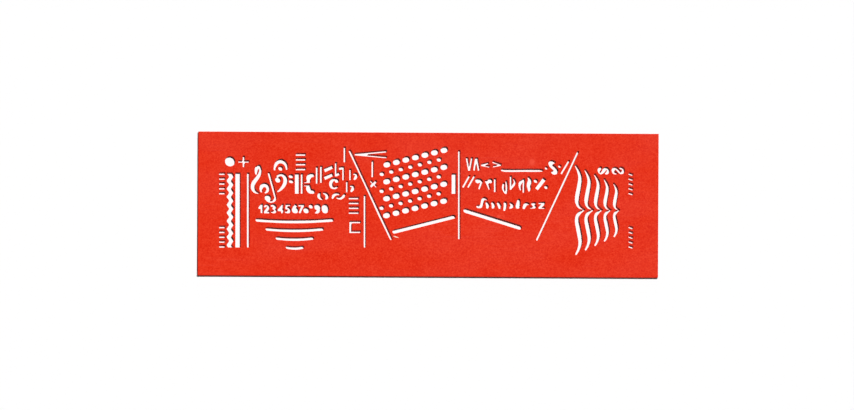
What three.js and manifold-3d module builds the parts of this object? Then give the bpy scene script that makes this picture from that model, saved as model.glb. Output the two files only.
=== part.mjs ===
import * as THREE from 'three';
import { mergeVertices } from 'three/addons/utils/BufferGeometryUtils.js';
import Module from 'manifold-3d';

// Music staff template, in millimetres: one thin red plastic sheet that lies flat on the paper,
// with the signs of music notation cut right through it for a pencil to follow.
// X runs along the sheet, Y up the page and Z out of the paper.
// The origin is the middle of the underside, and the signs are placed from there.

// Sheet
const sheetLength = 190;
const sheetWidth = 59.4;
const sheetThickness = 0.8;

// The cut pattern sits a little askew on the sheet, in degrees anticlockwise
const patternTurn = 0.3;
// A cutter stands this far out of each face
const cutOverrun = 0.5;

// Widths that many cuts share
const lineCut = 1.05;
const barCut = 1.9;
const signCut = 1;
const thinSignCut = 0.9;
// Plastic left between two cuts that stand side by side
const web = 0.55;

// Smoothness of the outlines
const stepsPerPoint = 2;
const capSteps = 4;

// Two staves of five lines, one above the other
const staffGap = 2;
const staffLines = 5;
const staffSpacing = 22;
const systemMiddle = -2.2;
const upperStaffMiddle = systemMiddle + staffSpacing / 2;

// Ticks that mark the staff lines at both ends of the sheet
const leftTickInset = 10;
const leftTickLength = 2.55;
const leftTickCut = 1.05;
const rightTickInset = 11.3;
const rightTickLength = 1.9;
const rightTickCut = 1.05;
const rightTickTilt = -18;
const rightTickDrop = 0.2;

// Round hole and plus sign at the left end
const roundHoleAt = [-81.74, 17.9];
const roundHoleDiameter = 4.2;
const plusAt = [-76.07, 17.84];
const plusSpan = 4.65;
const plusCut = 0.95;

// Tall cuts that join the two staves, and how far they pass the outer staff lines
const systemOverrun = 0.45;
const waveX = -81.63;
const waveCut = 2.1;
const waveSwing = 0.45;
const waveLength = 3.32;
const waveFirstCrest = 1.7;
// The right side of the wave turns this much sooner than the left
const waveLead = 0.45;
const waveSteps = 6;
const thickSystemX = -78.5;
const thickSystemCut = 2.15;
const thinSystemX = -74.28;

// Places of the clefs and the signs beside them
const trebleClefAt = [-68.55, 8.5];
const fermataAt = [-60.75, 16];
const bassClefAt = [-60.3, 9.3];
const finalBarAt = [-54.05, 8.75];
const barLineHeight = 8.45;
const altoClefAt = [-49.15, 8.56];
const sharpAt = [-44.91, 12.26];
const naturalAt = [-36.62, 13.54];
const commonTimeAt = [-39.1, 8.5];
const parenthesesAt = [-43.4, 3.4];
const turnAt = [-36.94, 3.51];
const upperFlatAt = [-32.1, 12.1];
const lowerFlatAt = [-33.44, 7.1];
const flatHeight = 4.7;

// Stacks of short ticks at the staff gap, for ledger lines and for repeats
const ledgerTicks = 4;
const ledgerAt = [-52.5, 17.75];
const ledgerLength = 4.2;
const ledgerCut = 1.1;
const repeatTicksAt = [-30.62, -0.25];
const repeatTickLength = 4.3;

// Figures
const figuresAt = [-70.1, -3.59];
const figureHeight = 4.05;

// Slurs, one under the other, each shorter and narrower than the last and a little further right
const slurCount = 4;
const slurAt = [-55.1, -6.9];
const slurPitch = 3.66;
const slurSpan = 32.4;
const slurSpanStep = 8.25;
const slurShift = 0.045;
const slurSag = 0.64;
const slurMiddleCut = 1.6;
const slurEndCut = 1.48;
const slurCutStep = 0.045;

// Stems, hairpin, bracket and cross between the clefs and the note heads
const shortStemAt = [-34.41, 20.73];
const shortStemLength = 6.45;
const innerStemAt = [-22.89, 14.8];
const innerStemLength = 6.9;
const longStemAt = [-26.1, -6.8];
const longStemLength = 21.7;
const stemCut = 0.95;
const hairpinAt = [-30.3, 20.85];
const hairpinLength = 13.35;
const hairpinOpening = 2.45;
const crossAt = [-22.5, 8.67];
const crossSpan = 2.5;
const crossCut = 1;
const bracketAt = [-32.5, -9.15];
const bracketHeight = 5.1;
const bracketDepth = 4.8;

// Long slanted cuts either side of the note heads and the small signs, by their two ends
const leftSlantTop = [-32.25, 22.15];
const leftSlantFoot = [-15.3, -14];
const leftSlantCut = 1.15;
const rightSlantTop = [61.88, 21.77];
const rightSlantFoot = [44.95, -14.48];
const rightSlantCut = 0.75;

// Note heads in slanted rows, with rows of small ones between
const headColumns = 7;
const headRows = 4;
const headAt = [-16.88, 16.72];
const headStepX = 3.93;
const headStepY = 0.99;
const headRowPitch = 6.99;
const headRowShift = -0.05;
const headLength = 3.3;
const headHeight = 2.55;
const headTilt = 28;
const smallHeadShiftX = -2.1;
const smallHeadShiftY = -3.95;
const smallHeadLength = 2.15;
const smallHeadHeight = 1.85;

// Bar lines right of the note heads
const tallBarAt = [12.84, 4.12];
const tallBarLength = 36.7;
const tallBarCut = 0.95;
const shortBarMiddle = 8.69;
const shortBarWeb = 0.76;

// Beams under the note heads and under the small signs
const leftBeamAt = [-1.7, -8.05];
const leftBeamLength = tallBarAt[0] - leftSlantFoot[0] - 2.94;
const leftBeamTilt = 14.1;
const leftBeamCut = 1.65;
const rightBeamAt = [26.6, -5.9];
const rightBeamLength = 23.2;
const rightBeamTilt = -17.4;

// Small signs between the tall bar line and the right slant
const bowMarksAt = [18.55, 16.75];
const accentsAt = [25.95, 16.5];
const holdLineAt = [38.87, 14.19];
const holdLineLength = 17.2;
const segnoAt = [51.57, 15.24];
const segnoStrokeAt = [56.44, 15.29];
const doubleSlashAt = [16.64, 9.39];
const doubleSlashPitch = 2.1;
const eighthRestAt = [21.12, 8.66];
const mirrorRestAt = [24.83, 8.61];
const restBarAt = [27.67, 8.07];
const restBarLength = 5.75;
const hookedFlatAt = [31.6, 7.1];
const openFlatAt = [34.9, 8.9];
const turnedFlatAt = [38.6, 7.7];
const quarterRestAt = [41.7, 8.1];
const measureRepeatAt = [46.57, 8.27];
const dynamicsAt = [21.45, -1.5];
const dynamicStemPitch = 2.35;

// Braces at the right end, each lower than the last
const braceCount = 5;
const braceAt = [61.05, -2.3];
const bracePitch = 3.93;
const braceHeight = 36.8;
const braceHeightStep = 3.7;
const braceDepth = 3.6;
const braceDepthStep = 0.33;
const braceCut = 1.85;
const braceCutStep = 0.08;
const octaveAt = [72.7, 14.15];
const doubleAt = [78.5, 14.05];

const sheetMaterial = new THREE.MeshStandardMaterial({
  color: 0xe7351f,
  roughness: 0.45,
  metalness: 0,
  flatShading: true,
});

const wasm = await Module();
wasm.setup();

const radians = THREE.MathUtils.degToRad;

// Round end of a cut: the points of a half circle that starts at the angle given
function cap(x, y, radius, startAngle) {
  const points = [];
  for (let i = 1; i < capSteps; i++) {
    const angle = startAngle - Math.PI * i / capSteps;
    points.push(new THREE.Vector2(x + radius * Math.cos(angle), y + radius * Math.sin(angle)));
  }
  return points;
}

// Pen stroke: a smooth centre line through points of [x, y, width of cut], with round ends
function pen(points, steps = stepsPerPoint) {
  const knots = points.map((point) => new THREE.Vector3(...point));
  const line = new THREE.CatmullRomCurve3(knots, false, 'centripetal');
  const count = (points.length - 1) * steps;
  const left = [];
  const right = [];
  const ends = [];
  for (let i = 0; i <= count; i++) {
    const { x, y, z: cut } = line.getPoint(i / count);
    const tangent = line.getTangent(i / count);
    const across = Math.atan2(tangent.y, tangent.x) + Math.PI / 2;
    const reach = new THREE.Vector2(Math.cos(across), Math.sin(across)).multiplyScalar(cut / 2);
    left.push(new THREE.Vector2(x, y).add(reach));
    right.unshift(new THREE.Vector2(x, y).sub(reach));
    ends.push({ x, y, radius: cut / 2, across });
  }
  const first = ends[0];
  const last = ends[count];
  return [
    ...left,
    ...cap(last.x, last.y, last.radius, last.across),
    ...right,
    ...cap(first.x, first.y, first.radius, first.across + Math.PI),
  ];
}

// Straight cut with round ends between two points
function slot(start, end, cut) {
  return pen([[...start, cut], [...end, cut]], 1);
}

// Straight cut with square ends, whose width may change from one end to the other
function bar(start, end, startCut, endCut = startCut) {
  const from = new THREE.Vector2(...start);
  const to = new THREE.Vector2(...end);
  const along = new THREE.Vector2().subVectors(to, from).normalize();
  const across = new THREE.Vector2(-along.y, along.x);
  return [
    from.clone().addScaledVector(across, startCut / 2),
    to.clone().addScaledVector(across, endCut / 2),
    to.clone().addScaledVector(across, -endCut / 2),
    from.clone().addScaledVector(across, -startCut / 2),
  ];
}

function polygon(corners) {
  return corners.map((corner) => new THREE.Vector2(...corner));
}

// Upright and level cuts with square ends, by their middle
function upright(x, y, height, cut) {
  return bar([x, y - height / 2], [x, y + height / 2], cut);
}

function level(x, y, length, cut) {
  return bar([x - length / 2, y], [x + length / 2, y], cut);
}

function ellipse(x, y, length, height, tilt, points) {
  const curve = new THREE.EllipseCurve(x, y, length / 2, height / 2, 0, 2 * Math.PI, false, radians(tilt));
  return curve.getPoints(points).slice(0, -1);
}

function disc(x, y, diameter, points = 14) {
  return ellipse(x, y, diameter, diameter, 0, points);
}

// Moves outlines, drawn about their own middle, to their place in the pattern
function place(outlines, [x, y], tilt = 0) {
  const origin = new THREE.Vector2();
  const shift = new THREE.Vector2(x, y);
  return outlines.map((outline) => outline.map((point) => {
    return point.clone().rotateAround(origin, radians(tilt)).add(shift);
  }));
}

// Heights of the lines of a staff about its middle line
function staffHeights() {
  return Array.from({ length: staffLines }, (_, line) => (line - (staffLines - 1) / 2) * staffGap);
}

function staffTicks(x, length, cut, tilt, drop = 0) {
  const outlines = [];
  for (const middle of [upperStaffMiddle, upperStaffMiddle - staffSpacing]) {
    for (const height of staffHeights()) {
      outlines.push(...place([level(0, 0, length, cut)], [x, middle + height - drop], tilt));
    }
  }
  return outlines;
}

function tickStack(count, length, cut) {
  const foot = -(count - 1) / 2 * staffGap;
  return Array.from({ length: count }, (_, tick) => level(0, foot + tick * staffGap, length, cut));
}

function plusSign() {
  return [upright(0, 0, plusSpan, plusCut), level(0, 0, plusSpan, plusCut)];
}

// Wavy line of an arpeggio beside the thick and the thin line that join two staves
function systemCuts() {
  const height = staffSpacing + (staffLines - 1) * staffGap + 2 * systemOverrun;
  const top = height / 2;
  const steps = Math.round(height / waveLength * waveSteps);
  const wave = [];
  for (const side of [-1, 1]) {
    for (let i = 0; i <= steps; i++) {
      const y = -side * (height * i / steps - top);
      const lead = side > 0 ? waveLead : 0;
      const phase = 2 * Math.PI * (top - waveFirstCrest + lead - y) / waveLength;
      wave.push(new THREE.Vector2(waveX + side * waveCut / 2 + waveSwing * Math.cos(phase), y));
    }
  }
  return [wave, upright(thickSystemX, 0, height, thickSystemCut), upright(thinSystemX, 0, height, lineCut)];
}

function trebleClef() {
  const loop = pen([[-2.4, 4.45, 1.1], [-2.35, 5.8, 1.45], [-1.95, 6.9, 1.5], [-1.2, 7.2, 1.1]]);
  const bowl = pen([
    [-1.2, 7.3, 1.5], [-0.6, 6.05, 1.2], [-1, 4.05, 1.3], [-2.35, 2.1, 1.55], [-3.5, 0.4, 1.7],
    [-3.75, -1.35, 1.85], [-3.15, -2.75, 1.6], [-2.05, -3.45, 1.15], [-1.45, -3.57, 0.8],
  ]);
  const curl = pen([
    [-0.25, -2.9, 1.1], [-0.45, -1.85, 1.3], [0.05, -0.75, 1.6], [1, -0.3, 1.85], [2.1, -0.75, 1.8],
    [2.45, -2.05, 1.4], [2, -3.1, 0.95], [1.4, -3.5, 0.75],
  ]);
  const stem = pen([
    [2.88, 4.5, 1.1], [3.95, 0.6, 1.15], [5.15, -3.9, 1.1], [5.55, -5.8, 1.05], [4.8, -6.95, 0.95],
    [3.4, -7.1, 1.2], [2.4, -6.5, 1.6],
  ]);
  return [loop, bowl, curl, stem, disc(2.45, -5.65, 2.75)];
}

function fermata() {
  const arch = pen([
    [-2.55, -1.35, 1], [-2.25, 0.25, 1.15], [-1.25, 1.55, 1.5], [0.05, 2, 1.85], [1.45, 1.4, 1.75],
    [2.25, 0.15, 1.35], [2.45, -1.2, 1],
  ]);
  return [arch, disc(-0.12, -0.95, 2, 12)];
}

function bassClef() {
  const hook = pen([
    [-1.85, 2.5, 0.85], [-1.15, 2.95, 1.15], [0, 3.1, 1.45], [1.1, 2.3, 1.85], [1.5, 0.85, 1.85],
    [0.95, -1, 1.45], [-0.35, -2.8, 1.05], [-1.65, -3.75, 0.75],
  ]);
  return [
    hook,
    disc(-1.65, 1.05, 2.45),
    ellipse(3.75, 2.5, 2.15, 1.7, 0, 10),
    ellipse(3.83, 0.42, 2.15, 1.7, 0, 10),
  ];
}

// Thick and thin bar line of the end of a piece
function finalBar() {
  const thinX = barCut / 2 + web + signCut / 2;
  return [upright(0, 0, barLineHeight, barCut), upright(thinX, 0, barLineHeight, signCut)];
}

function altoClef() {
  const upper = pen([[0, 1.25, 1.4], [-0.22, 2.2, 1.85], [0.3, 3.35, 1.9], [1.5, 3.75, 1.7]]);
  const lower = pen([[-0.15, -1.04, 1.8], [-0.12, -2.03, 2.25], [0.55, -2.97, 2.05], [1.6, -3.16, 1.85]]);
  return [
    upper,
    bar([-2, 0.75], [0.55, 0.92], 0.75, 0.95),
    lower,
    bar([-2, -0.55], [0.45, -0.66], 0.75, 1.15),
  ];
}

function sharp() {
  return [
    upright(-0.95, 0, 7.1, signCut),
    upright(0.8, 0.3, 7.1, signCut),
    bar([2.05, 1.9], [5.75, 3.5], 1.6, 1.45),
    bar([2.05, -1.3], [5.75, 0.35], 1.6, 1.45),
  ];
}

function natural() {
  return [
    upright(-1.4, 1.1, 5.9, thinSignCut),
    bar([-1.4, -1.2], [0.25, -0.5], 1.25),
    upright(1.65, -0.6, 5.75, thinSignCut),
    bar([-0.2, 1.5], [1.65, 1.7], 1.3, 1.4),
  ];
}

function commonTime() {
  const letterC = pen([
    [1.45, 1.7, 1.25], [0.35, 2.05, 1.2], [-0.6, 1.4, 1.3], [-1, 0, 1.6], [-0.5, -1.15, 1.5],
    [0.7, -1.5, 1.15], [1.7, -1.05, 0.75],
  ]);
  return [letterC, disc(1.35, 1.5, 1.9, 10)];
}

function parentheses() {
  return [
    pen([[-1.25, 1.38, 0.9], [-1.6, 0.28, 1.55], [-1.2, -0.52, 1.5], [-0.42, -1.02, 1]]),
    pen([[0.4, 1.45, 1], [1.4, 0.95, 1.45], [1.8, 0.05, 1.5], [1.35, -0.85, 0.9]]),
  ];
}

function turn() {
  return [
    pen([[-2.5, -0.7, 0.8], [-2.05, 0.25, 1.15], [-1.05, 1, 1.25], [0.2, 0.95, 1]]),
    pen([[-0.4, -0.62, 1.1], [0.85, -0.8, 1.2], [1.95, -0.1, 1.1], [2.55, 0.75, 0.9]]),
  ];
}

function flat() {
  return [
    upright(0, 0.37, flatHeight, thinSignCut),
    pen([[1.55, 0.6, 0.9], [2.3, 0.55, 1.4], [2.45, -0.35, 1.35], [1.75, -1.5, 0.85]]),
  ];
}

// The ten figures stand side by side, cut so that no island of plastic falls out of them
function figures() {
  const top = figureHeight;
  return [
    polygon([[0.95, 0.1], [0.95, 1.75], [0.1, 1.9], [0.1, 2.5], [1.25, top], [2, top], [2, 0.1]]),
    pen([[2.78, 2.9, 0.85], [3.5, 3.5, 1.1], [4.25, 2.85, 1.15], [3.7, 1.7, 1.1], [2.9, 0.9, 1]]),
    level(3.6, 0.57, 2.45, 1.1),
    pen([[5.6, 3.3, 1.1], [6.35, 3.3, 1.45], [6.85, 2.8, 1.5]]),
    pen([[6.3, 2.1, 1], [7.15, 1.45, 1.12], [6.72, 0.58, 1.1], [5.7, 0.66, 1]]),
    polygon([
      [9.95, top - 0.15], [10.45, top], [10.25, 1.95], [10.6, 1.85], [10.6, 0.9], [10.35, 0.85],
      [10.35, 0.05], [9.45, 0.05], [9.35, 0.85], [8.05, 0.95], [8.05, 1.75],
    ]),
    level(12.4, 3.5, 2.05, 0.95),
    upright(11.7, 2.8, 2, 0.95),
    pen([[11.6, 2.2, 1.1], [12.5, 2.15, 1.2], [12.87, 1.35, 1.25], [12.35, 0.6, 1.2], [11.5, 0.68, 1.1]]),
    disc(15.25, 1.42, 2.8),
    bar([14.7, 2.1], [15.8, 3.8], 1.6, 1),
    level(17.85, 3.4, 2.55, 1.1),
    bar([18.48, 3.35], [17.05, 0.1], 0.95, 0.88),
    disc(19.84, 1.3, 2.5),
    disc(21.8, 3, 2, 12),
    disc(24.5, 2.62, 2.72),
    pen([[25.15, 2.2, 1.3], [24.9, 1.15, 1.4], [24.35, 0.55, 1.2], [23.75, 0.35, 0.85]]),
    pen([[27.62, 2.5, 2.82], [27.62, 1.42, 2.82]], 1),
  ];
}

// Slurs sag in the middle and thin towards their ends
function slurs() {
  const outlines = [];
  for (let i = 0; i < slurCount; i++) {
    const span = slurSpan - i * slurSpanStep;
    const sag = slurSag * Math.sqrt(span / slurSpan);
    const endCut = slurEndCut - i * slurCutStep;
    const middleCut = slurMiddleCut - i * slurCutStep;
    const endX = (span - endCut) / 2;
    const slur = pen([
      [-endX, sag, endCut],
      [-endX / 2, sag / 4, (endCut + middleCut) / 2],
      [0, 0, middleCut],
      [endX / 2, sag / 4, (endCut + middleCut) / 2],
      [endX, sag, endCut],
    ]);
    outlines.push(...place([slur], [i * slurShift, -i * slurPitch]));
  }
  return outlines;
}

// Crescendo: two lines that part from one point
function hairpin() {
  const rise = hairpinOpening / 2;
  return [
    bar([0, 0], [hairpinLength, rise], signCut),
    bar([0, 0], [hairpinLength, -rise], signCut),
  ];
}

function cross() {
  const arm = crossSpan / 2;
  return [bar([-arm, arm], [arm, -arm], crossCut), bar([-arm, -arm], [arm, arm], crossCut)];
}

function bracket() {
  const outerY = bracketHeight / 2;
  const innerY = outerY - lineCut;
  return [polygon([
    [0, outerY], [bracketDepth, outerY], [bracketDepth, innerY], [lineCut, innerY],
    [lineCut, -innerY], [bracketDepth, -innerY], [bracketDepth, -outerY], [0, -outerY],
  ])];
}

function noteHeads() {
  const outlines = [];
  for (let row = 0; row < headRows; row++) {
    for (let column = 0; column < headColumns; column++) {
      const x = headAt[0] + column * headStepX + row * headRowShift;
      const y = headAt[1] + column * headStepY - row * headRowPitch;
      outlines.push(ellipse(x, y, headLength, headHeight, headTilt, 14));
      if (row < headRows - 1) {
        const smallX = x + smallHeadShiftX;
        const smallY = y + smallHeadShiftY;
        outlines.push(ellipse(smallX, smallY, smallHeadLength, smallHeadHeight, headTilt, 10));
      }
    }
  }
  return outlines;
}

// Beam that joins the stems of notes, drawn level
function beam(length, cut) {
  return slot([-length / 2, 0], [length / 2, 0], cut);
}

// Tall thin bar line and a short thick one beside it
function sideBars() {
  const shortX = tallBarAt[0] - tallBarCut / 2 - shortBarWeb - barCut / 2;
  return [
    upright(...tallBarAt, tallBarLength, tallBarCut),
    upright(shortX, shortBarMiddle, barLineHeight, barCut),
  ];
}

function bowMarks() {
  return [
    bar([-2.55, 2.85], [-1.55, -2.75], 1.08, 0.96),
    bar([-0.4, 2.85], [-1.4, -2.75], 0.88, 0.76),
    bar([1.35, 2.7], [0.5, -2.65], 0.96, 0.92),
    bar([1.5, 2.7], [2.5, -2.65], 1.12, 1.06),
  ];
}

function accents() {
  return [
    bar([-4.1, -0.05], [-0.8, 0.75], 0.86, 0.88),
    bar([-4.1, -0.1], [-0.4, -0.78], 0.82, 0.98),
    bar([0.7, 1.23], [4.35, 0.06], 1.1, 0.85),
    bar([0.8, -0.67], [4.35, -0.04], 0.9, 0.72),
  ];
}

function holdLine() {
  const half = holdLineLength / 2;
  return [pen([
    [-half + 0.35, 0.2, 1.2], [-half + 1.5, 0, 1.3], [0, 0, 1.25], [half - 1.5, 0, 1.25],
    [half - 0.35, 0, 0.95],
  ])];
}

function segno() {
  const letterS = pen([
    [0.45, 2.3, 1.2], [-0.5, 2.6, 1.2], [-1.2, 1.95, 1.5], [-0.7, 0.95, 1.8], [0.48, -0.12, 1.8],
    [1.35, -1.2, 1.6], [1.15, -2.02, 1.3], [0.35, -2.2, 1.3], [-0.15, -1.85, 1.3],
  ]);
  return [
    letterS,
    ellipse(-0.25, 2.12, 1.55, 1.25, 0, 10),
    ellipse(0.25, -1.75, 1.6, 1.3, 0, 10),
    disc(-2.74, -0.06, 1.4, 10),
    disc(2.78, 0.7, 1.4, 10),
  ];
}

function doubleSlash() {
  const stroke = bar([1.65, 2.8], [-1.25, -2.3], 0.7);
  return [...place([stroke], [-doubleSlashPitch / 2, 0]), ...place([stroke], [doubleSlashPitch / 2, 0])];
}

function eighthRest() {
  return [
    pen([[-0.6, 1.2, 2.1], [0.45, 1.25, 1.6], [1.05, 0.95, 1.05]]),
    bar([1.1, 1.1], [-0.1, -2.3], 0.85, 0.75),
  ];
}

function mirrorRest() {
  return [
    disc(0.88, 1.25, 2.05, 12),
    bar([-1.35, 1.05], [0.6, 1], 1, 1.3),
    bar([-0.48, 0.85], [0.62, -2.3], 1.35, 0.95),
  ];
}

function hookedFlat() {
  return [
    pen([[-0.3, 1.6, 0.9], [-0.6, 0.2, 1.1], [-0.35, -1, 1.15], [0.25, -2.15, 0.9]]),
    pen([[0.7, 2.65, 0.85], [0.88, 0.7, 1.05], [0.85, -1.15, 0.95], [0.6, -2.3, 0.95]]),
  ];
}

function openFlat() {
  return [
    bar([-0.75, 3.15], [-0.65, -2.75], 0.95, 1.05),
    pen([[0.5, 1.7, 0.9], [1, 0.55, 1], [0.5, -0.65, 0.9], [-0.4, -1.75, 0.8]]),
  ];
}

function turnedFlat() {
  return [
    pen([[0.65, 2.35, 1.05], [-0.35, 1.55, 1.25], [-0.7, 0.15, 1.2], [-0.35, -1.35, 0.95]]),
    bar([0.95, 3.1], [0.85, -2.75], 0.92),
  ];
}

function quarterRest() {
  return [pen([
    [-0.15, 3.05, 1.1], [0.38, 1.9, 1.75], [0, 0.65, 1.8], [-0.12, -0.25, 1.7], [0.05, -1.1, 1.7],
    [0, -2.15, 1.05],
  ])];
}

function measureRepeat() {
  return [disc(-2.1, 1.6, 1.75, 10), bar([1.65, 2.6], [-1.82, -1.9], 1.5, 1.35), disc(2.22, -0.97, 1.7, 10)];
}

// Letters of the dynamics, from f to z, each cut open so that no island falls out
function dynamics() {
  const stemOfM = pen([[2.9, 2.2, 1.4], [3.2, 1.35, 1.6], [2.95, 0.4, 1.05]]);
  return [
    pen([
      [2.75, 3.75, 0.95], [1.75, 4.18, 1.2], [1.05, 3.1, 1.32], [0.75, 1.6, 1.25], [0.1, 0.65, 1.15],
      [-0.82, 0.8, 1.45],
    ]),
    stemOfM,
    ...place([stemOfM], [dynamicStemPitch, 0]),
    pen([[7.6, 2.15, 1.4], [8, 1.25, 1.65], [8.1, 0.3, 1.15]]),
    pen([[10.45, 2.15, 1.45], [10.45, 1, 1.4], [10.05, -0.6, 1]]),
    pen([[12.6, 2.1, 1.05], [13.25, 1.45, 1.5], [13, 0.6, 1.25], [12.4, 0.2, 0.75]]),
    pen([[16, 3.35, 1.25], [15.85, 1.95, 1.75], [15.5, 0.7, 1.75]]),
    bar([15.5, 0.35], [16.6, 1], 1, 0.7),
    pen([[18.1, 0.2, 1.15], [18.6, 1.4, 1.4], [19.25, 1.98, 1.25], [20, 1.8, 1]]),
    slot([21.85, 2.1], [22.75, 2.15], 0.9),
    slot([21.72, 1.9], [22.7, 0.72], 1.3),
    slot([22.45, 0.3], [20.95, 0.3], 0.8),
    polygon([
      [24.1, 2.65], [26.85, 2.75], [26.85, 1.95], [25.7, 0.65], [26.85, 0.65],
      [26.85, -0.22], [24.15, -0.22], [24.15, 0.4], [25.25, 1.75], [24.1, 1.75],
    ]),
  ];
}

// A brace from its top end down to its point and on to its foot, in shares of its depth, half its
// height and its cut
function brace(height, depth, cut) {
  const shares = [
    [-0.02, 1, 0.52], [0.26, 0.9, 0.72], [0.45, 0.79, 0.88], [0.49, 0.68, 0.95], [0.38, 0.54, 1],
    [0.22, 0.38, 1.04], [0.12, 0.24, 1], [0.19, 0.14, 0.86], [0.46, 0.068, 0.74],
    [0.95, 0.014, 0.54],
    [0.48, -0.045, 0.64], [0.19, -0.12, 0.8], [0.12, -0.24, 1], [0.25, -0.38, 1.12],
    [0.41, -0.54, 1.1], [0.51, -0.68, 0.97], [0.45, -0.79, 0.76], [0.25, -0.9, 0.54], [0, -0.985, 0.36],
  ];
  return pen(shares.map(([x, y, share]) => [x * depth, y * height / 2, share * cut]), 1);
}

function braces() {
  const outlines = [];
  for (let i = 0; i < braceCount; i++) {
    const height = braceHeight - i * braceHeightStep;
    const cut = braceCut - i * braceCutStep;
    outlines.push(...place([brace(height, braceDepth - i * braceDepthStep, cut)], [i * bracePitch, 0]));
  }
  return outlines;
}

// Octave and double signs, drawn lying on their sides
function octaveSign() {
  return [pen([
    [-1.42, 1.1, 1.15], [-2.07, 0.35, 1.3], [-2.03, -0.5, 1.2], [-1.35, -1.1, 1.1], [-0.55, -0.65, 1.05],
    [0.02, 0.25, 1.5], [0.7, 0.78, 1.4], [1.5, 0.48, 1.25], [1.72, -0.25, 1.2], [1.35, -0.9, 1.2],
    [0.85, -1.17, 1.1],
  ])];
}

function doubleSign() {
  return [pen([
    [-0.77, -1.07, 1], [-1.65, -0.87, 1.28], [-2.07, 0.05, 1.42], [-1.6, 0.97, 1.28], [-0.8, 0.92, 1.22],
    [0.1, 0.1, 1.35], [1, -0.8, 1.25], [1.85, -0.7, 1.1], [2.12, 0.2, 1.15], [1.65, 0.98, 1.2],
    [0.95, 1.12, 1.15],
  ])];
}

// Every cut of the sheet, in place
function pattern() {
  return [
    ...staffTicks(leftTickInset - sheetLength / 2, leftTickLength, leftTickCut, 0),
    ...staffTicks(
      sheetLength / 2 - rightTickInset, rightTickLength, rightTickCut, rightTickTilt, rightTickDrop),
    ...place([disc(0, 0, roundHoleDiameter, 24)], roundHoleAt),
    ...place(plusSign(), plusAt),
    ...place(systemCuts(), [0, systemMiddle]),
    ...place(trebleClef(), trebleClefAt),
    ...place(fermata(), fermataAt),
    ...place(bassClef(), bassClefAt),
    ...place(tickStack(ledgerTicks, ledgerLength, ledgerCut), ledgerAt),
    ...place(finalBar(), finalBarAt),
    ...place(altoClef(), altoClefAt),
    ...place(sharp(), sharpAt),
    ...place(natural(), naturalAt),
    ...place(commonTime(), commonTimeAt),
    ...place(parentheses(), parenthesesAt),
    ...place(turn(), turnAt),
    ...place(flat(), upperFlatAt),
    ...place(flat(), lowerFlatAt),
    ...place(tickStack(ledgerTicks, repeatTickLength, lineCut), repeatTicksAt),
    ...place(figures(), figuresAt),
    ...place(slurs(), slurAt),
    ...place([upright(0, 0, shortStemLength, stemCut)], shortStemAt),
    ...place([upright(0, 0, innerStemLength, stemCut)], innerStemAt),
    ...place([upright(0, 0, longStemLength, stemCut)], longStemAt),
    ...place(hairpin(), hairpinAt),
    ...place(cross(), crossAt),
    ...place(bracket(), bracketAt),
    slot(leftSlantTop, leftSlantFoot, leftSlantCut),
    slot(rightSlantTop, rightSlantFoot, rightSlantCut),
    ...noteHeads(),
    ...place([beam(leftBeamLength, leftBeamCut)], leftBeamAt, leftBeamTilt),
    ...place([beam(rightBeamLength, barCut)], rightBeamAt, rightBeamTilt),
    ...sideBars(),
    ...place(bowMarks(), bowMarksAt),
    ...place(accents(), accentsAt),
    ...place(holdLine(), holdLineAt),
    ...place(segno(), segnoAt),
    ...place([bar([1.88, 3.1], [-1.52, -2.65], 0.68)], segnoStrokeAt),
    ...place(doubleSlash(), doubleSlashAt),
    ...place(eighthRest(), eighthRestAt),
    ...place(mirrorRest(), mirrorRestAt),
    ...place([upright(0, 0, restBarLength, signCut)], restBarAt),
    ...place(hookedFlat(), hookedFlatAt),
    ...place(openFlat(), openFlatAt),
    ...place(turnedFlat(), turnedFlatAt),
    ...place(quarterRest(), quarterRestAt),
    ...place(measureRepeat(), measureRepeatAt),
    ...place(dynamics(), dynamicsAt),
    ...place(braces(), braceAt),
    ...place(octaveSign(), octaveAt),
    ...place(doubleSign(), doubleAt),
  ];
}

// A closed geometry as a solid that can be cut
function solid(geometry) {
  geometry.deleteAttribute('normal');
  geometry.deleteAttribute('uv');
  const merged = mergeVertices(geometry);
  return new wasm.Manifold(new wasm.Mesh({
    numProp: 3,
    vertProperties: new Float32Array(merged.attributes.position.array),
    triVerts: new Uint32Array(merged.index.array),
  }));
}

function cutter(outline) {
  const depth = sheetThickness + 2 * cutOverrun;
  const geometry = new THREE.ExtrudeGeometry(new THREE.Shape(outline), { depth, bevelEnabled: false });
  geometry.rotateZ(radians(patternTurn));
  geometry.translate(0, 0, -cutOverrun);
  return solid(geometry);
}

function templateSheet() {
  const blank = new THREE.BoxGeometry(sheetLength, sheetWidth, sheetThickness);
  blank.translate(0, 0, sheetThickness / 2);
  let sheet = solid(blank);
  for (const outline of pattern()) {
    sheet = sheet.subtract(cutter(outline));
  }
  const { vertProperties, triVerts } = sheet.getMesh();
  const geometry = new THREE.BufferGeometry();
  geometry.setAttribute('position', new THREE.BufferAttribute(vertProperties, 3));
  geometry.setIndex(new THREE.BufferAttribute(triVerts, 1));
  const mesh = new THREE.Mesh(geometry, sheetMaterial);
  mesh.name = 'template_sheet';
  return mesh;
}

const template = new THREE.Group();
template.add(templateSheet());

export default template;
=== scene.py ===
"""Music staff template: a red plastic sheet with music signs cut through it, lying on white paper."""

import math

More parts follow.
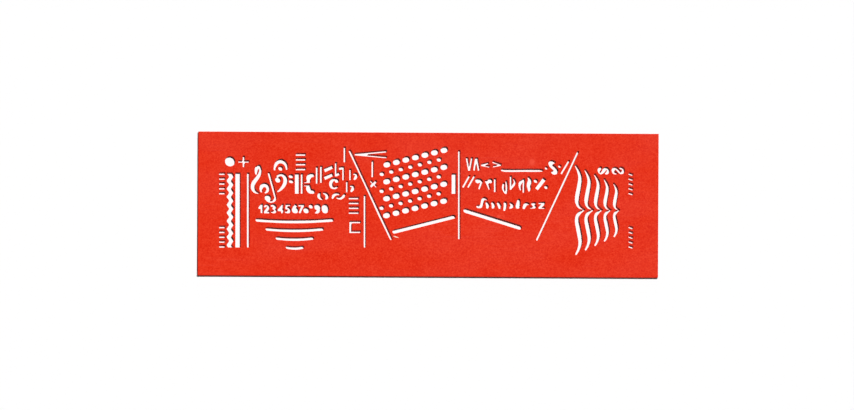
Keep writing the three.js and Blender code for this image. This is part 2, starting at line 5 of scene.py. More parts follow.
import bmesh
import bpy
import numpy as np
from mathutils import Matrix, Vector


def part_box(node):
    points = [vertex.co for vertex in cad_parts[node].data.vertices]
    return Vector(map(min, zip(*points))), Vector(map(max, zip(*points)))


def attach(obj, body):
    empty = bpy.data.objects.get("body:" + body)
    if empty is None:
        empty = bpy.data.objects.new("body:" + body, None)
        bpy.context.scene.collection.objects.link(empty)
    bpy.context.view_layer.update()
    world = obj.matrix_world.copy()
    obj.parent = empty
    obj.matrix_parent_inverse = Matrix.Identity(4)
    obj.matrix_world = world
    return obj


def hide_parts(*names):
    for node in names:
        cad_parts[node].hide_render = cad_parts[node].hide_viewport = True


bl_info = {
    "name": "Music Staff Template",
    "version": (1, 0, 0),
    "blender": (4, 5, 0),
    "location": "View3D > Sidebar > Template",
    "description": "Makes the cut plastic sheet with its worn finish, and the paper and light around it",
    "category": "Object",
}

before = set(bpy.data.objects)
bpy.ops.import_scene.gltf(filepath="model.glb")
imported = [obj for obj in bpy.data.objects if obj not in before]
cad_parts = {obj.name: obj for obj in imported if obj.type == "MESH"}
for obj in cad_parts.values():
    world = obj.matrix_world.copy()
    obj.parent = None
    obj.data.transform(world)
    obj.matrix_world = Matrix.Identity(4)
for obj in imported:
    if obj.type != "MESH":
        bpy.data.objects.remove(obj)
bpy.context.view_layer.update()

MM = 0.001
SHEET_NODE = "template_sheet"
SHEET_LOW, SHEET_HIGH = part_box(SHEET_NODE)
SHEET_THICKNESS = SHEET_HIGH.z - SHEET_LOW.z

# The photograph's frame, and the middle of the sheet in it, in pixels
PHOTO_WIDTH = 854
PHOTO_HEIGHT = 410
SHEET_MIDDLE_ON_PHOTO = (428.2, 204.6)

# Noise scales, in cells to a millimetre
CLOUD_SCALE = 0.055
MOTTLE_SCALE = 1.7
GRAIN_SCALE = 5.5
SWELL_SCALE = 0.02
FIBRE_SCALE = 1.3

# How much each noise has to do with the plastic's light and dark, out of 1
MOTTLE_SHARE = 0.80
CLOUD_SHARE = 0.12
GRAIN_SHARE = 0.08

# The sums of those noises at which the plastic is deep red, red and orange red
DEEP_RED_AT = 0.36
RED_AT = 0.50
ORANGE_RED_AT = 0.64

# Pale spots on the upper face: middle and half width each way, in millimetres
PALE_SPOTS = (((42.8, 17.7), (1.6, 2.0)), ((29.1, -4.7), (1.0, 1.0)))
PALE_SPOT_STRENGTH = 0.45

# The pale line: its middle, half length and half width, in millimetres
PALE_LINE_MIDDLE = (-13.25, -13.4)
PALE_LINE_SIZE = (1.6, 0.3)
PALE_LINE_TURN = math.radians(-17)

# How deep the pale spots and the pale line go, in millimetres, and where they fade, in shares of their
# half width
MARK_DEPTH = 0.3
MARK_FADE = (0.35, 1)

# Two sets of scuffs: their turn in radians, and the noise scales of their lines and patches
SCUFFS = ((0.31, 1.06, 0.041), (-0.62, 1.22, 0.057))
# How lines are stretched, and the noise values at which lines and patches start and are full
SCUFF_STRETCH = (0.02, 2.4, 1)
SCUFF_LINES = (0.60, 0.66)
SCUFF_PATCHES = (0.50, 0.62)

# Slow smears in the gloss
SMEAR_TURN = 0.2
SMEAR_STRETCH = (0.03, 0.08, 1)

# Values between which a soft noise goes from none to full
SOFT_STEP = (0.3, 0.7)

# What smears, scuffs and cut walls add to the roughness
SMEAR_ROUGHNESS = 0.10
SCUFF_ROUGHNESS = 0.12
WALL_ROUGHNESS = 0.14

# How much each thing stands out of the face, where less than 0 is a hollow
GRAIN_RELIEF = 0.35
MOTTLE_RELIEF = 0.4
SCUFF_RELIEF = -0.3
PALE_LINE_RELIEF = -0.6

# How much of the darker red painted on the cut walls as shade shows on them
WALL_SHADE_SHARE = 0.85

PLASTIC_IOR = 1.49

PAPER_ROUGHNESS = 0.9
PAPER_SHINE = 0.2
# How much of the paper's colour its darker fibres keep
PAPER_SHADE = 0.985

# Points nearer to each other than this are one point
SAME_PLACE = 0.001 * MM

# Faces that meet at less than this angle are shaded as one curve
SMOOTH_ANGLE = math.radians(40)

# Where the cut wall's painted shade and added roughness start and are full, from the flat face at 0 to
# the wall at 1
WALL_LOOK = (0.2, 0.9)

# Heights of a direction, as the sine of its angle, between which horizon light turns into sky light
SKY_FADE = (0.06, 0.25)

# The camera's sensor in millimetres, and how far it sees in metres
SENSOR_WIDTH = 36
FARTHEST_SEEN = 100


class SheetSizes(bpy.types.PropertyGroup):
    """Sizes and colours of the plastic sheet."""

    lip_radius: bpy.props.FloatProperty(
        name="Lip radius", description="Rounding of the edges between the faces and the cut walls",
        default=0.05 * MM, unit="LENGTH")
    lip_steps: bpy.props.IntProperty(
        name="Lip steps", description="Facets from a face round to a wall", default=3, min=1)
    rim: bpy.props.FloatProperty(
        name="Rim", description="Flat band between a lip and the rest of the face",
        default=0.03 * MM, unit="LENGTH")
    edge_ease: bpy.props.FloatProperty(
        name="Edge ease", description="How much wider the lip is round the outside of the sheet",
        default=2.5)
    corner_radius: bpy.props.FloatProperty(
        name="Corner radius", description="Rounding that the cutter leaves in the corners of the signs",
        default=0.09 * MM, unit="LENGTH")
    corner_turn: bpy.props.FloatProperty(
        name="Corner turn",
        description="An outline that turns by more than this at a point has a corner there",
        default=math.radians(50), subtype="ANGLE")
    curve_turn: bpy.props.FloatProperty(
        name="Curve turn", description="Most that a curved outline turns from one point to the next",
        default=math.radians(11), subtype="ANGLE")
    red: bpy.props.FloatVectorProperty(
        name="Red", description="Colour of the plastic", subtype="COLOR", size=3,
        default=(0.727, 0.0268, 0.0052))
    deep_red: bpy.props.FloatVectorProperty(
        name="Deep red", description="Darker clouds in the plastic", subtype="COLOR", size=3,
        default=(0.655, 0.0135, 0.0006))
    orange_red: bpy.props.FloatVectorProperty(
        name="Orange red", description="Lighter clouds in the plastic", subtype="COLOR", size=3,
        default=(0.79, 0.043, 0.0135))
    # Darker red painted on the walls of the cuts and on their lips, as shade
    wall_shade_red: bpy.props.FloatVectorProperty(
        name="Cut red", description="Colour of the walls of the cuts", subtype="COLOR", size=3,
        default=(0.62, 0.022, 0.004))
    # Paler red for two soft spots on the upper face
    pale_spot_red: bpy.props.FloatVectorProperty(
        name="Worn red", description="Places where the faces are rubbed pale", subtype="COLOR", size=3,
        default=(0.93, 0.10, 0.05))
    # Colour of a short pale line below the left slanted cut, which is also sunk as a shallow groove
    pale_line: bpy.props.FloatVectorProperty(
        name="Scratch", description="Colour of the bare scratch below the left slanted cut",
        subtype="COLOR", size=3, default=(0.95, 0.72, 0.58))
    roughness: bpy.props.FloatProperty(
        name="Roughness", description="Roughness of the faces", default=0.32, min=0, max=1)


class StageSizes(bpy.types.PropertyGroup):
    """Paper, light and camera."""

    paper: bpy.props.FloatVectorProperty(
        name="Paper", description="Colour of the paper", subtype="COLOR", size=3,
        default=(0.889, 0.888, 0.887))
    paper_size: bpy.props.FloatProperty(
        name="Paper size", description="Length of each side of the paper",
        default=12, unit="LENGTH")
    sun_strength: bpy.props.FloatProperty(
        name="Sun strength", description="Strength of the key light", default=4.75)
    sun_height: bpy.props.FloatProperty(
        name="Sun height", description="Angle of the key light above the paper",
        default=math.radians(46), subtype="ANGLE")
    sun_side: bpy.props.FloatProperty(
        name="Sun side",
        description="Direction that the key light comes from, anticlockwise from the sheet's length",
        default=math.radians(55), subtype="ANGLE")
    sun_size: bpy.props.FloatProperty(
        name="Sun size",
        description="Angle that the key light takes up, which softens the shadows",
        default=math.radians(3), subtype="ANGLE")
    sky_strength: bpy.props.FloatProperty(
        name="Sky strength", description="Light from overhead", default=0.03)
    horizon_strength: bpy.props.FloatProperty(
        name="Horizon strength", description="Light from low around the paper", default=0.8)
    camera_height: bpy.props.FloatProperty(
        name="Camera height", description="Height of the camera over the sheet",
        default=1.5, unit="LENGTH")
    view_width: bpy.props.FloatProperty(
        name="View width", description="Width of the paper that the photograph takes in",
        default=352.45 * MM, unit="LENGTH")
    camera_turn: bpy.props.FloatProperty(
        name="Camera turn", description="Turn of the camera about its line of sight",
        default=math.radians(0.3), subtype="ANGLE")


class Socket:
    """An output of a node, on which Python's operators add Math nodes."""

    def __init__(self, tree, output):
        self.tree = tree
        self.output = output

    def maths(self, operation, *values):
        return self.tree.node("ShaderNodeMath", {"operation": operation}, dict(enumerate(values)))

    def __add__(self, other):
        return self.maths("ADD", self, other)

    def __sub__(self, other):
        return self.maths("SUBTRACT", self, other)

    def __rsub__(self, other):
        return self.maths("SUBTRACT", other, self)

    def __mul__(self, other):
        return self.maths("MULTIPLY", self, other)

    def __truediv__(self, other):
        return self.maths("DIVIDE", self, other)

    def __gt__(self, other):
        return self.maths("GREATER_THAN", self, other)

    def __lt__(self, other):
        return self.maths("LESS_THAN", self, other)

    def between(self, low, high):
        """0 below low, 1 above high and a smooth step between."""
        return self.tree.node(
            "ShaderNodeMapRange", {"interpolation_type": "SMOOTHSTEP"},
            {"Value": self, "From Min": low, "From Max": high})


class Tree:
    """A node tree that is built one node at a time."""

    def __init__(self, node_tree):
        self.node_tree = node_tree

    def node(self, kind, settings=None, sockets=None, output=0):
        """Adds a node, sets it up, feeds its sockets, and gives one of its outputs, if it has any."""
        made = self.node_tree.nodes.new(kind)
        for name, value in (settings or {}).items():
            setattr(made, name, value)
        for name, value in (sockets or {}).items():
            if isinstance(value, Socket):
                self.node_tree.links.new(value.output, made.inputs[name])
            else:
                made.inputs[name].default_value = value
        return Socket(self, made.outputs[output]) if made.outputs else None

    def mix(self, share, first, second):
        """A colour that goes from the first to the second as share goes from 0 to 1."""
        first, second = (
            colour if isinstance(colour, Socket) else (*colour, 1) for colour in (first, second))
        # Sockets 6 and 7 of this node are its two colours, and output 2 is their mix
        return self.node(
            "ShaderNodeMix", {"data_type": "RGBA"}, {"Factor": share, 6: first, 7: second}, output=2)

    def noise(self, place, scale, detail=2, roughness=0.5):
        return self.node(
            "ShaderNodeTexNoise", {},
            {"Vector": place, "Scale": scale, "Detail": detail, "Roughness": roughness})

    def bump(self, height, strength, distance, below=None):
        """A surface direction tilted by a height, on top of another such tilt if there is one."""
        sockets = {"Strength": strength, "Distance": distance, "Height": height}
        if below is not None:
            sockets["Normal"] = below
        return self.node("ShaderNodeBump", {}, sockets)


def new_material(name):
    material = bpy.data.materials.new(name)
    material.use_nodes = True
    material.node_tree.nodes.clear()
    return material, Tree(material.node_tree)


def object_place(tree):
    """Object coordinates in millimetres."""
    place = tree.node("ShaderNodeTexCoord", output="Object")
    return tree.node("ShaderNodeVectorMath", {"operation": "SCALE"}, {0: place, "Scale": 1 / MM})


def stretched(tree, place, turn, scale):
    """Places that are turned about Z and then scaled along each axis."""
    return tree.node(
        "ShaderNodeMapping", {}, {"Vector": place, "Rotation": (0, 0, turn), "Scale": scale})


def oval_mark(tree, place, middle, turn, size):
    """1 in the middle of a soft oval mark on the upper face and 0 outside it, all in millimetres."""
    top = SHEET_THICKNESS / MM
    from_middle = tree.node("ShaderNodeMapping", {"vector_type": "TEXTURE"}, {
        "Vector": place,
        "Location": (*middle, top),
        "Rotation": (0, 0, turn),
        "Scale": (*size, MARK_DEPTH),
    })
    distance = tree.node(
        "ShaderNodeVectorMath", {"operation": "LENGTH"}, {0: from_middle}, output="Value")
    return 1 - distance.between(*MARK_FADE)


def red_plastic(sizes):
    """Moulded red plastic: mottled, faintly grained, scuffed by pencils, rougher on the cut walls, with
    darker red painted on the walls as shade.
    """
    material, tree = new_material("red_plastic")
    place = object_place(tree)

    clouds = tree.noise(place, CLOUD_SCALE)
    mottle = tree.noise(place, MOTTLE_SCALE, roughness=0.6)
    grain = tree.noise(place, GRAIN_SCALE, roughness=0.6)
    wall = tree.node("ShaderNodeAttribute", {"attribute_name": "cut_wall"}, output="Fac")

    light_and_dark = mottle * MOTTLE_SHARE + clouds * CLOUD_SHARE + grain * GRAIN_SHARE
    face = tree.mix(light_and_dark.between(DEEP_RED_AT, RED_AT), sizes.deep_red, sizes.red)
    face = tree.mix(light_and_dark.between(RED_AT, ORANGE_RED_AT), face, sizes.orange_red)
    # Two soft spots on the upper face are mixed towards a paler red
    for middle, size in PALE_SPOTS:
        spot = oval_mark(tree, place, middle, 0, size)
        face = tree.mix(spot * PALE_SPOT_STRENGTH, face, sizes.pale_spot_red)
    # A short pale line, which the bump below also sinks a little
    pale_line = oval_mark(tree, place, PALE_LINE_MIDDLE, PALE_LINE_TURN, PALE_LINE_SIZE)
    face = tree.mix(pale_line, face, sizes.pale_line)
    # The cut walls and their lips are painted a darker red, as shade
    colour = tree.mix(wall * WALL_SHADE_SHARE, face, sizes.wall_shade_red)

    # Fine straight scuffs in two directions, each set broken up by a slower noise
    scuffs = 0
    for turn, line_scale, patch_scale in SCUFFS:
        lines = tree.noise(stretched(tree, place, turn, SCUFF_STRETCH), line_scale, roughness=0.7)
        patches = tree.noise(place, patch_scale, detail=1)
        scuffs = lines.between(*SCUFF_LINES) * patches.between(*SCUFF_PATCHES) + scuffs
    smears = tree.noise(stretched(tree, place, SMEAR_TURN, SMEAR_STRETCH), 1, detail=3)

    # Smears leave the roughness of the faces as it is on average
    roughness = (
        smears.between(*SOFT_STEP) * SMEAR_ROUGHNESS + scuffs * SCUFF_ROUGHNESS + wall * WALL_ROUGHNESS
        + (sizes.roughness - SMEAR_ROUGHNESS / 2))
    swell = tree.noise(place, SWELL_SCALE, detail=1)
    relief = (
        grain * GRAIN_RELIEF + mottle * MOTTLE_RELIEF + scuffs * SCUFF_RELIEF
        + pale_line * PALE_LINE_RELIEF)
    bump = tree.bump(relief, strength=0.35, distance=0.006 * MM)
    bump = tree.bump(swell, strength=0.5, distance=0.5 * MM, below=bump)
    shader = tree.node(
        "ShaderNodeBsdfPrincipled", {},
        {"Base Color": colour, "Roughness": roughness, "IOR": PLASTIC_IOR, "Normal": bump})
    tree.node("ShaderNodeOutputMaterial", {}, {"Surface": shader})
    return material


def white_paper(sizes):
    """Smooth white drawing paper with a trace of fibre."""
    material, tree = new_material("white_paper")
    fibre = tree.noise(object_place(tree), FIBRE_SCALE, detail=4, roughness=0.6)
    dark = tuple(channel * PAPER_SHADE for channel in sizes.paper)
    shader = tree.node("ShaderNodeBsdfPrincipled", {}, {
        "Base Color": tree.mix(fibre.between(*SOFT_STEP), dark, sizes.paper),
        "Roughness": PAPER_ROUGHNESS,
        "Specular IOR Level": PAPER_SHINE,
        "Normal": tree.bump(fibre, strength=0.1, distance=0.01 * MM),
    })
    tree.node("ShaderNodeOutputMaterial", {}, {"Surface": shader})
    return material


def face_outlines(node):
    """Rings of points round the upper face of a flat node, each with the plastic on its left."""
    # A face whose normal rises by more than this faces up
    level = 0.9
    mesh = bmesh.new()
    mesh.from_mesh(node.data)
    bmesh.ops.remove_doubles(mesh, verts=mesh.verts, dist=SAME_PLACE)
    mesh.normal_update()
    follows = {}
    for face in mesh.faces:
        if face.normal.z > level:
            for loop in face.loops:
                if any(side.normal.z < level for side in loop.edge.link_faces):
                    follows[loop.vert] = loop.link_loop_next.vert
    rings = []
    while follows:
        vert = next(iter(follows))
        ring = []
        while vert in follows:
            ring.append((vert.co.x, vert.co.y))
            vert = follows.pop(vert)
        rings.append(np.array(ring))
    mesh.free()
    return rings


def turns_at(ring):
    """How far a ring turns at each of its points, in radians, anticlockwise positive."""
    ahead = np.roll(ring, -1, axis=0) - ring
    heading = np.arctan2(ahead[:, 1], ahead[:, 0])
    turn = heading - np.roll(heading, 1)
    return (turn + math.pi) % (2 * math.pi) - math.pi


def spline_points(places, count):
    """Points from the second of four places towards the third, on a smooth curve through all four."""
    gaps = [max(math.dist(a, b), SAME_PLACE) ** 0.5 for a, b in zip(places, places[1:])]
    knots = np.cumsum([0, *gaps])
    points = []
    for t in np.linspace(knots[1], knots[2], count, endpoint=False):
        # Each pass blends the neighbours in a row, from four places down to one
        row = places
        for reach, spread in ((1, 1), (2, 2), (3, 1)):
            first = 1 if reach == 3 else 0
            row = [
                ((knots[i + spread] - t) * row[i - first] + (t - knots[i]) * row[i - first + 1])
                / (knots[i + spread] - knots[i])
                for i in range(first, first + 4 - reach)
            ]
        points.append(row[0])
    return points


def smooth_ring(ring, corner_turn, curve_turn):
    """The ring with its curves refined, and with its corners and straight sides kept."""
    # A side this many times as long as the next is straight at that end
    long_side = 3
    count = len(ring)
    turns = np.abs(turns_at(ring))
    sharp = turns > corner_turn
    lengths = np.linalg.norm(np.roll(ring, -1, axis=0) - ring, axis=1)
    straight = [
        (sharp[i] or lengths[i] > long_side * lengths[i - 1])
        and (sharp[(i + 1) % count] or lengths[i] > long_side * lengths[(i + 1) % count])
        for i in range(count)
    ]
    soft_turns = np.where(sharp, 0, turns)
    points = []
    for i in range(count):
        following = (i + 1) % count
        start, end = ring[i], ring[following]
        if straight[i]:
            points.append(start)
            continue
        before, after = ring[i - 1], ring[(i + 2) % count]
        if sharp[i]:
            before = 2 * start - end
        elif straight[i - 1]:
            before = start + (before - start) * lengths[i] / lengths[i - 1]
        if sharp[following]:
            after = 2 * end - start
        elif straight[following]:
            after = end + (after - end) * lengths[i] / lengths[following]
        bend = (soft_turns[i] + soft_turns[following]) / 2
        parts = max(1, math.ceil(bend / curve_turn))
        points += spline_points((before, start, end, after), parts)
    return np.array(points)


def round_corners(ring, radius, corner_turn):
    """The ring with three points of a small curve in place of each corner."""
    # Points that turn by more than this stay sharp
    widest_turn = math.radians(125)
    # The most of a side that a corner takes up
    most_of_side = 0.3
    turns = np.abs(turns_at(ring))
    points = []
    for i, corner in enumerate(ring):
        if not corner_turn < turns[i] < widest_turn:
            points.append(corner)
            continue
        arms = [ring[i - 1] - corner, ring[(i + 1) % len(ring)] - corner]
        limits = [most_of_side * np.linalg.norm(arm) for arm in arms]
        back = min([radius * math.tan(turns[i] / 2), *limits])
        start, end = (corner + arm / np.linalg.norm(arm) * back for arm in arms)
        # The middle of a curve that runs from the start to the end and is drawn towards the corner
        middle = 0.25 * start + 0.5 * corner + 0.25 * end
        points += [start, middle, end]
    return np.array(points)


def crossing_sides(ring):
    """Which sides of a ring cross another side of it that isn't next to them."""
    start, end = ring, np.roll(ring, -1, axis=0)

    def side_of(point):
        """For each side along the first axis, on which hand each point along the second lies."""
        along, away = (end - start)[:, None], point[None] - start[:, None]
        return along[..., 0] * away[..., 1] - along[..., 1] * away[..., 0]

    parted = side_of(start) * side_of(end) < 0
    crossed = parted & parted.T
    count = len(ring)
    gap = np.abs(np.subtract.outer(np.arange(count), np.arange(count)))
    crossed &= (gap > 1) & (gap < count - 1)
    return crossed.any(axis=1)


def room_for_lip(ring, inset):
    """How far each point moves square to the ring for an inset of 1, less where the ring would fold."""
    # The most that a point at a corner moves, and the least cosine that this is worked out with
    widest = 1.6
    least_cosine = 0.1
    # A side that an inset leaves with less than this share of its length is folded
    shortest = 0.15
    # What is left of a folded point's move after each try
    ease = 0.8
    tries = 40
    sides = np.roll(ring, -1, axis=0) - ring
    lengths = np.linalg.norm(sides, axis=1)
    ahead = sides / lengths[:, None]
    along = ahead + np.roll(ahead, 1, axis=0)
    along /= np.linalg.norm(along, axis=1)[:, None]
    inward = np.stack((-along[:, 1], along[:, 0]), axis=1)
    room = np.minimum(1 / np.maximum(np.cos(turns_at(ring) / 2), least_cosine), widest)
    for _ in range(tries):
        moved = ring + inward * (room * inset)[:, None]
        moved_sides = np.roll(moved, -1, axis=0) - moved
        shrunk = (moved_sides * ahead).sum(axis=1) < shortest * lengths
        folded = shrunk | crossing_sides(moved)
        if not folded.any():
            break
        room[folded | np.roll(folded, 1)] *= ease
    return room


def outline_curve(name, rings, inset, edge_ease):
    """A curve object with a closed line for each ring, whose radius tells how wide the lip is there."""
    data = bpy.data.curves.new(name, "CURVE")
    data.dimensions = "3D"
    # The longest ring is the outside of the sheet
    outside = max(range(len(rings)), key=lambda i: np.ptp(rings[i][:, 0]))
    for i, ring in enumerate(rings):
        line = data.splines.new("POLY")
        line.points.add(len(ring) - 1)
        # Each point has its place and a weight of 1
        places = np.zeros((len(ring), 4), np.float32)
        places[:, :2] = ring
        places[:, 3] = 1
        line.points.foreach_set("co", places.ravel())
        width = room_for_lip(ring, inset) * (edge_ease if i == outside else 1)
        line.points.foreach_set("radius", width.astype(np.float32))
        line.use_cyclic_u = True
    curve = bpy.data.objects.new(name, data)
    bpy.context.scene.collection.objects.link(curve)
    return curve


def sheet_tree():
    """Geometry nodes that turn outlines into a sheet.

    The walls and their lips are swept along the outlines, and then both faces are filled in.
    """
    group = bpy.data.node_groups.new("sheet_from_outlines", "GeometryNodeTree")
    sockets = {}
    for name, kind in (
        ("Outlines", "NodeSocketGeometry"),
        ("Thickness", "NodeSocketFloat"),
        ("Lip Radius", "NodeSocketFloat"),
        ("Lip Steps", "NodeSocketInt"),
        ("Rim", "NodeSocketFloat"),
        ("Material", "NodeSocketMaterial"),
    ):
        made = group.interface.new_socket(name, in_out="INPUT", socket_type=kind)
        sockets[name] = made.identifier
    group.interface.new_socket("Sheet", in_out="OUTPUT", socket_type="NodeSocketGeometry")
    tree = Tree(group)

    inputs = group.nodes.new("NodeGroupInput")
    outlines, thickness, lip, steps, rim, material = (
        Socket(tree, inputs.outputs[name]) for name in sockets)

    # The cross-section: across the lower rim, round the lower lip, up the wall and on to the upper rim
    index = tree.node("GeometryNodeInputIndex")
    last = steps * 2 + 3
    from_rim = index.maths("MINIMUM", index, last - index)
    angle = (from_rim - 1).maths("MAXIMUM", from_rim - 1, 0) / steps * (math.pi / 2)
    inset = (1 - angle.maths("SINE", angle)) * lip + (from_rim < 0.5) * rim
    height = thickness / 2 - lip + angle.maths("COSINE", angle) * lip
    side = (index > last / 2) * 2 - 1
    point = tree.node("ShaderNodeCombineXYZ", {}, {"Y": side * height})
    section = tree.node("GeometryNodeCurvePrimitiveLine", {"mode": "POINTS"})
    section = tree.node("GeometryNodeResampleCurve", {}, {"Curve": section, "Count": last + 1})
    section = tree.node("GeometryNodeSetPosition", {}, {"Geometry": section, "Position": point})
    wall = (from_rim / (steps + 1)).between(*WALL_LOOK)
    section = tree.node(
        "GeometryNodeStoreNamedAttribute", {"data_type": "FLOAT", "domain": "POINT"},
        {"Geometry": section, "Name": "cut_wall", "Value": wall})
    section = tree.node(
        "GeometryNodeStoreNamedAttribute", {"data_type": "FLOAT", "domain": "POINT"},
        {"Geometry": section, "Name": "inset", "Value": inset})

    # Each point of the section goes square to the outline, by its inset times the outline's radius
    level = tree.node("GeometryNodeSetCurveNormal", {"mode": "Z_UP"}, {"Curve": outlines})
    along = tree.node("GeometryNodeInputTangent")
    inward = tree.node(
        "ShaderNodeVectorMath", {"operation": "CROSS_PRODUCT"}, {0: (0, 0, 1), 1: along})
    room = tree.node("GeometryNodeInputRadius")
    inward = tree.node("ShaderNodeVectorMath", {"operation": "SCALE"}, {0: inward, "Scale": room})
    level = tree.node(
        "GeometryNodeStoreNamedAttribute", {"data_type": "FLOAT_VECTOR", "domain": "POINT"},
        {"Geometry": level, "Name": "inward", "Value": inward})
    level = tree.node("GeometryNodeSetCurveRadius", {}, {"Curve": level, "Radius": 1.0})
    walls = tree.node("GeometryNodeCurveToMesh", {}, {"Curve": level, "Profile Curve": section})
    inset = tree.node("GeometryNodeInputNamedAttribute", {"data_type": "FLOAT"}, {"Name": "inset"})
    inward = tree.node(
        "GeometryNodeInputNamedAttribute", {"data_type": "FLOAT_VECTOR"}, {"Name": "inward"})
    move = tree.node("ShaderNodeVectorMath", {"operation": "SCALE"}, {0: inward, "Scale": inset})
    walls = tree.node("GeometryNodeSetPosition", {}, {"Geometry": walls, "Offset": move})
    for name in ("inset", "inward"):
        walls = tree.node("GeometryNodeRemoveAttribute", {}, {"Geometry": walls, "Name": name})

    # The faces fill the upper edges of the rims, which have a single face beside them
    sides = tree.node("GeometryNodeInputMeshEdgeNeighbors")
    place = tree.node("GeometryNodeInputPosition")
    up = tree.node("ShaderNodeSeparateXYZ", {}, {"Vector": place}, output="Z")
    rings = tree.node(
        "GeometryNodeMeshToCurve", {}, {"Mesh": walls, "Selection": (sides < 1.5) * (up > 0)})
    face = tree.node("GeometryNodeFillCurve", {"mode": "TRIANGLES"}, {"Curve": rings})
    rise = tree.node("ShaderNodeCombineXYZ", {}, {"Z": thickness / 2})
    drop = tree.node("ShaderNodeCombineXYZ", {}, {"Z": thickness / -2})
    upper = tree.node("GeometryNodeSetPosition", {}, {"Geometry": face, "Offset": rise})
    lower = tree.node("GeometryNodeFlipFaces", {}, {"Mesh": face})
    lower = tree.node("GeometryNodeSetPosition", {}, {"Geometry": lower, "Offset": drop})

    join = group.nodes.new("GeometryNodeJoinGeometry")
    for piece in (lower, upper, walls):
        group.links.new(piece.output, join.inputs[0])
    joined = Socket(tree, join.outputs[0])
    sheet = tree.node(
        "GeometryNodeMergeByDistance", {}, {"Geometry": joined, "Distance": SAME_PLACE})
    sheet = tree.node("GeometryNodeSetPosition", {}, {"Geometry": sheet, "Offset": rise})
    bend = tree.node("GeometryNodeInputMeshEdgeAngle")
    for domain, smooth in (("FACE", True), ("EDGE", bend < SMOOTH_ANGLE)):
        sheet = tree.node(
            "GeometryNodeSetShadeSmooth", {"domain": domain},
            {"Geometry": sheet, "Shade Smooth": smooth})
    sheet = tree.node("GeometryNodeRealizeInstances", {}, {"Geometry": sheet})
    sheet = tree.node("GeometryNodeSetMaterial", {}, {"Geometry": sheet, "Material": material})
    output = group.nodes.new("NodeGroupOutput")
    group.links.new(sheet.output, output.inputs[0])
    return group, sockets


class TEMPLATE_OT_sheet(bpy.types.Operator):
    """Make the red sheet with rounded lips round every cut"""

    bl_idname = "template.sheet"
    bl_label = "Plastic sheet"

    def execute(self, context):
        sizes = context.scene.template_sheet
        rings = []
        for ring in face_outlines(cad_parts[SHEET_NODE]):
            ring = smooth_ring(ring, sizes.corner_turn, sizes.curve_turn)
            rings.append(round_corners(ring, sizes.corner_radius, sizes.corner_turn))
        inset = sizes.lip_radius + sizes.rim
        curve = outline_curve("sheet_outlines", rings, inset, sizes.edge_ease)

        group, sockets = sheet_tree()
        modifier = curve.modifiers.new("sheet", "NODES")
        modifier.node_group = group
        for name, value in (
            ("Thickness", SHEET_THICKNESS),
            ("Lip Radius", sizes.lip_radius),
            ("Lip Steps", sizes.lip_steps),
            ("Rim", sizes.rim),
            ("Material", red_plastic(sizes)),
        ):
            modifier[sockets[name]] = value

        evaluated = curve.evaluated_get(context.evaluated_depsgraph_get())
        mesh = bpy.data.meshes.new_from_object(evaluated)
        bpy.data.objects.remove(curve)
        if not mesh.polygons:
            raise RuntimeError("the outlines made no sheet")
        sheet = bpy.data.objects.new("cut_sheet", mesh)
        context.scene.collection.objects.link(sheet)
        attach(sheet, "root")
        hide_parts(SHEET_NODE)
        return {"FINISHED"}


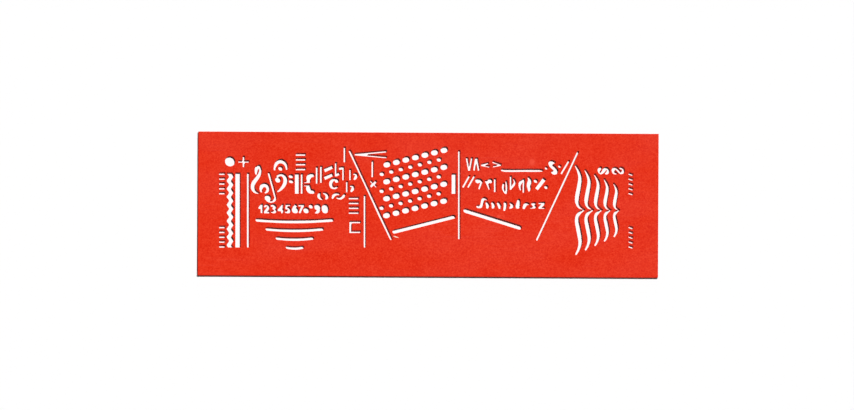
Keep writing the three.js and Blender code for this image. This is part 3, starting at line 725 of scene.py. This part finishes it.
class TEMPLATE_OT_stage(bpy.types.Operator):
    """Lay the paper, and set the lights and the camera"""

    bl_idname = "template.stage"
    bl_label = "Paper, light and camera"

    def execute(self, context):
        sizes = context.scene.template_stage
        self.lay_paper(context, sizes)
        self.light(context, sizes)
        self.aim_camera(context, sizes)
        return {"FINISHED"}

    def lay_paper(self, context, sizes):
        half = sizes.paper_size / 2
        mesh = bpy.data.meshes.new("paper")
        corners = [(-half, -half, 0), (half, -half, 0), (half, half, 0), (-half, half, 0)]
        mesh.from_pydata(corners, [], [(0, 1, 2, 3)])
        mesh.materials.append(white_paper(sizes))
        paper = bpy.data.objects.new("paper", mesh)
        context.scene.collection.objects.link(paper)

    def light(self, context, sizes):
        sun = bpy.data.objects.new("key_light", bpy.data.lights.new("key_light", "SUN"))
        sun.data.energy = sizes.sun_strength
        sun.data.angle = sizes.sun_size
        towards = Vector((
            math.cos(sizes.sun_side) * math.cos(sizes.sun_height),
            math.sin(sizes.sun_side) * math.cos(sizes.sun_height),
            math.sin(sizes.sun_height),
        ))
        sun.location = towards
        sun.rotation_euler = towards.to_track_quat("Z", "Y").to_euler()
        context.scene.collection.objects.link(sun)

        world = bpy.data.worlds.new("soft_room")
        world.use_nodes = True
        world.node_tree.nodes.clear()
        tree = Tree(world.node_tree)
        direction = tree.node("ShaderNodeTexCoord", output="Generated")
        up = tree.node("ShaderNodeSeparateXYZ", {}, {"Vector": direction}, output="Z")
        change = sizes.sky_strength - sizes.horizon_strength
        strength = up.between(*SKY_FADE) * change + sizes.horizon_strength
        background = tree.node(
            "ShaderNodeBackground", {}, {"Color": (1, 1, 1, 1), "Strength": strength})
        tree.node("ShaderNodeOutputWorld", {}, {"Surface": background})
        context.scene.world = world
        context.scene.view_settings.view_transform = "Standard"

    def aim_camera(self, context, sizes):
        data = bpy.data.cameras.new("camera")
        data.sensor_width = SENSOR_WIDTH
        data.lens = data.sensor_width * sizes.camera_height / sizes.view_width
        data.clip_end = FARTHEST_SEEN
        camera = bpy.data.objects.new("camera", data)
        pixel = sizes.view_width / PHOTO_WIDTH
        across = (PHOTO_WIDTH / 2 - SHEET_MIDDLE_ON_PHOTO[0]) * pixel
        up = (SHEET_MIDDLE_ON_PHOTO[1] - PHOTO_HEIGHT / 2) * pixel
        middle = (SHEET_LOW + SHEET_HIGH) / 2
        camera.location = (middle.x + across, middle.y + up, SHEET_HIGH.z + sizes.camera_height)
        camera.rotation_euler = (0, 0, sizes.camera_turn)
        context.scene.collection.objects.link(camera)
        context.scene.camera = camera


class TEMPLATE_PT_panel(bpy.types.Panel):
    """Buttons that make the template and its stage"""

    bl_idname = "TEMPLATE_PT_panel"
    bl_label = "Music staff template"
    bl_space_type = "VIEW_3D"
    bl_region_type = "UI"
    bl_category = "Template"

    def draw(self, context):
        for operator, sizes in (
            (TEMPLATE_OT_sheet, context.scene.template_sheet),
            (TEMPLATE_OT_stage, context.scene.template_stage),
        ):
            self.layout.operator(operator.bl_idname)
            for name in sizes.__annotations__:
                self.layout.prop(sizes, name)


CLASSES = (SheetSizes, StageSizes, TEMPLATE_OT_sheet, TEMPLATE_OT_stage, TEMPLATE_PT_panel)


def register():
    for cls in CLASSES:
        bpy.utils.register_class(cls)
    bpy.types.Scene.template_sheet = bpy.props.PointerProperty(type=SheetSizes)
    bpy.types.Scene.template_stage = bpy.props.PointerProperty(type=StageSizes)


def unregister():
    del bpy.types.Scene.template_stage
    del bpy.types.Scene.template_sheet
    for cls in reversed(CLASSES):
        bpy.utils.unregister_class(cls)


def main():
    register()
    bpy.ops.template.sheet()
    bpy.ops.template.stage()


if __name__ == "__main__":
    main()
